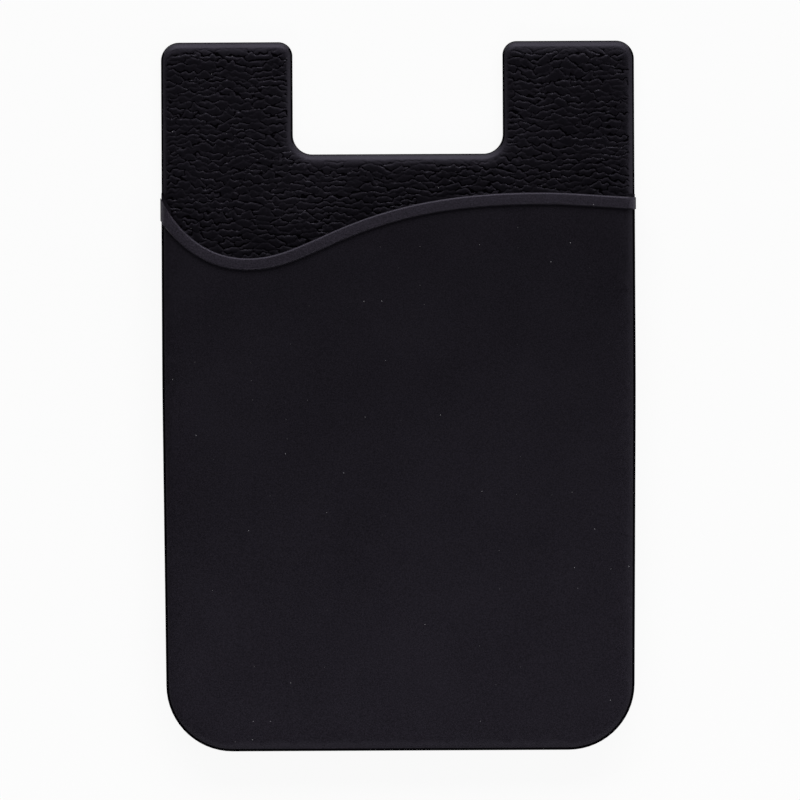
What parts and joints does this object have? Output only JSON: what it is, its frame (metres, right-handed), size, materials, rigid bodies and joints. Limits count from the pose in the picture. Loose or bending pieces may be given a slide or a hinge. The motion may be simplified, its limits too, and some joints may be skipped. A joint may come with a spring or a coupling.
{
  "type": "stick-on phone card holder",
  "caption": "Slim silicone card pocket with a wavy lipped mouth and a thumb notch between prongs, on an adhesive sheet with its liner.",
  "frame": {"origin": "on the surface the holder lies on, under the middle of its outline", "axes": "+X across the holder, +Y from the closed foot to the two prongs, +Z out of the front of the pocket"},
  "size_m": [0.0574, 0.0856, 0.0041],
  "materials": {
    "silicone_black": "moulded black silicone, satin smooth on the pocket and leather grained on the back panel",
    "adhesive_film": "double-sided adhesive film, pale and slightly milky",
    "liner_paper": "coated off-white release paper, unprinted"
  },
  "bodies": {
    "root": {"holder_body": "silicone_black", "adhesive_sheet": "adhesive_film", "release_liner": "liner_paper"}
  },
  "joints": []
}
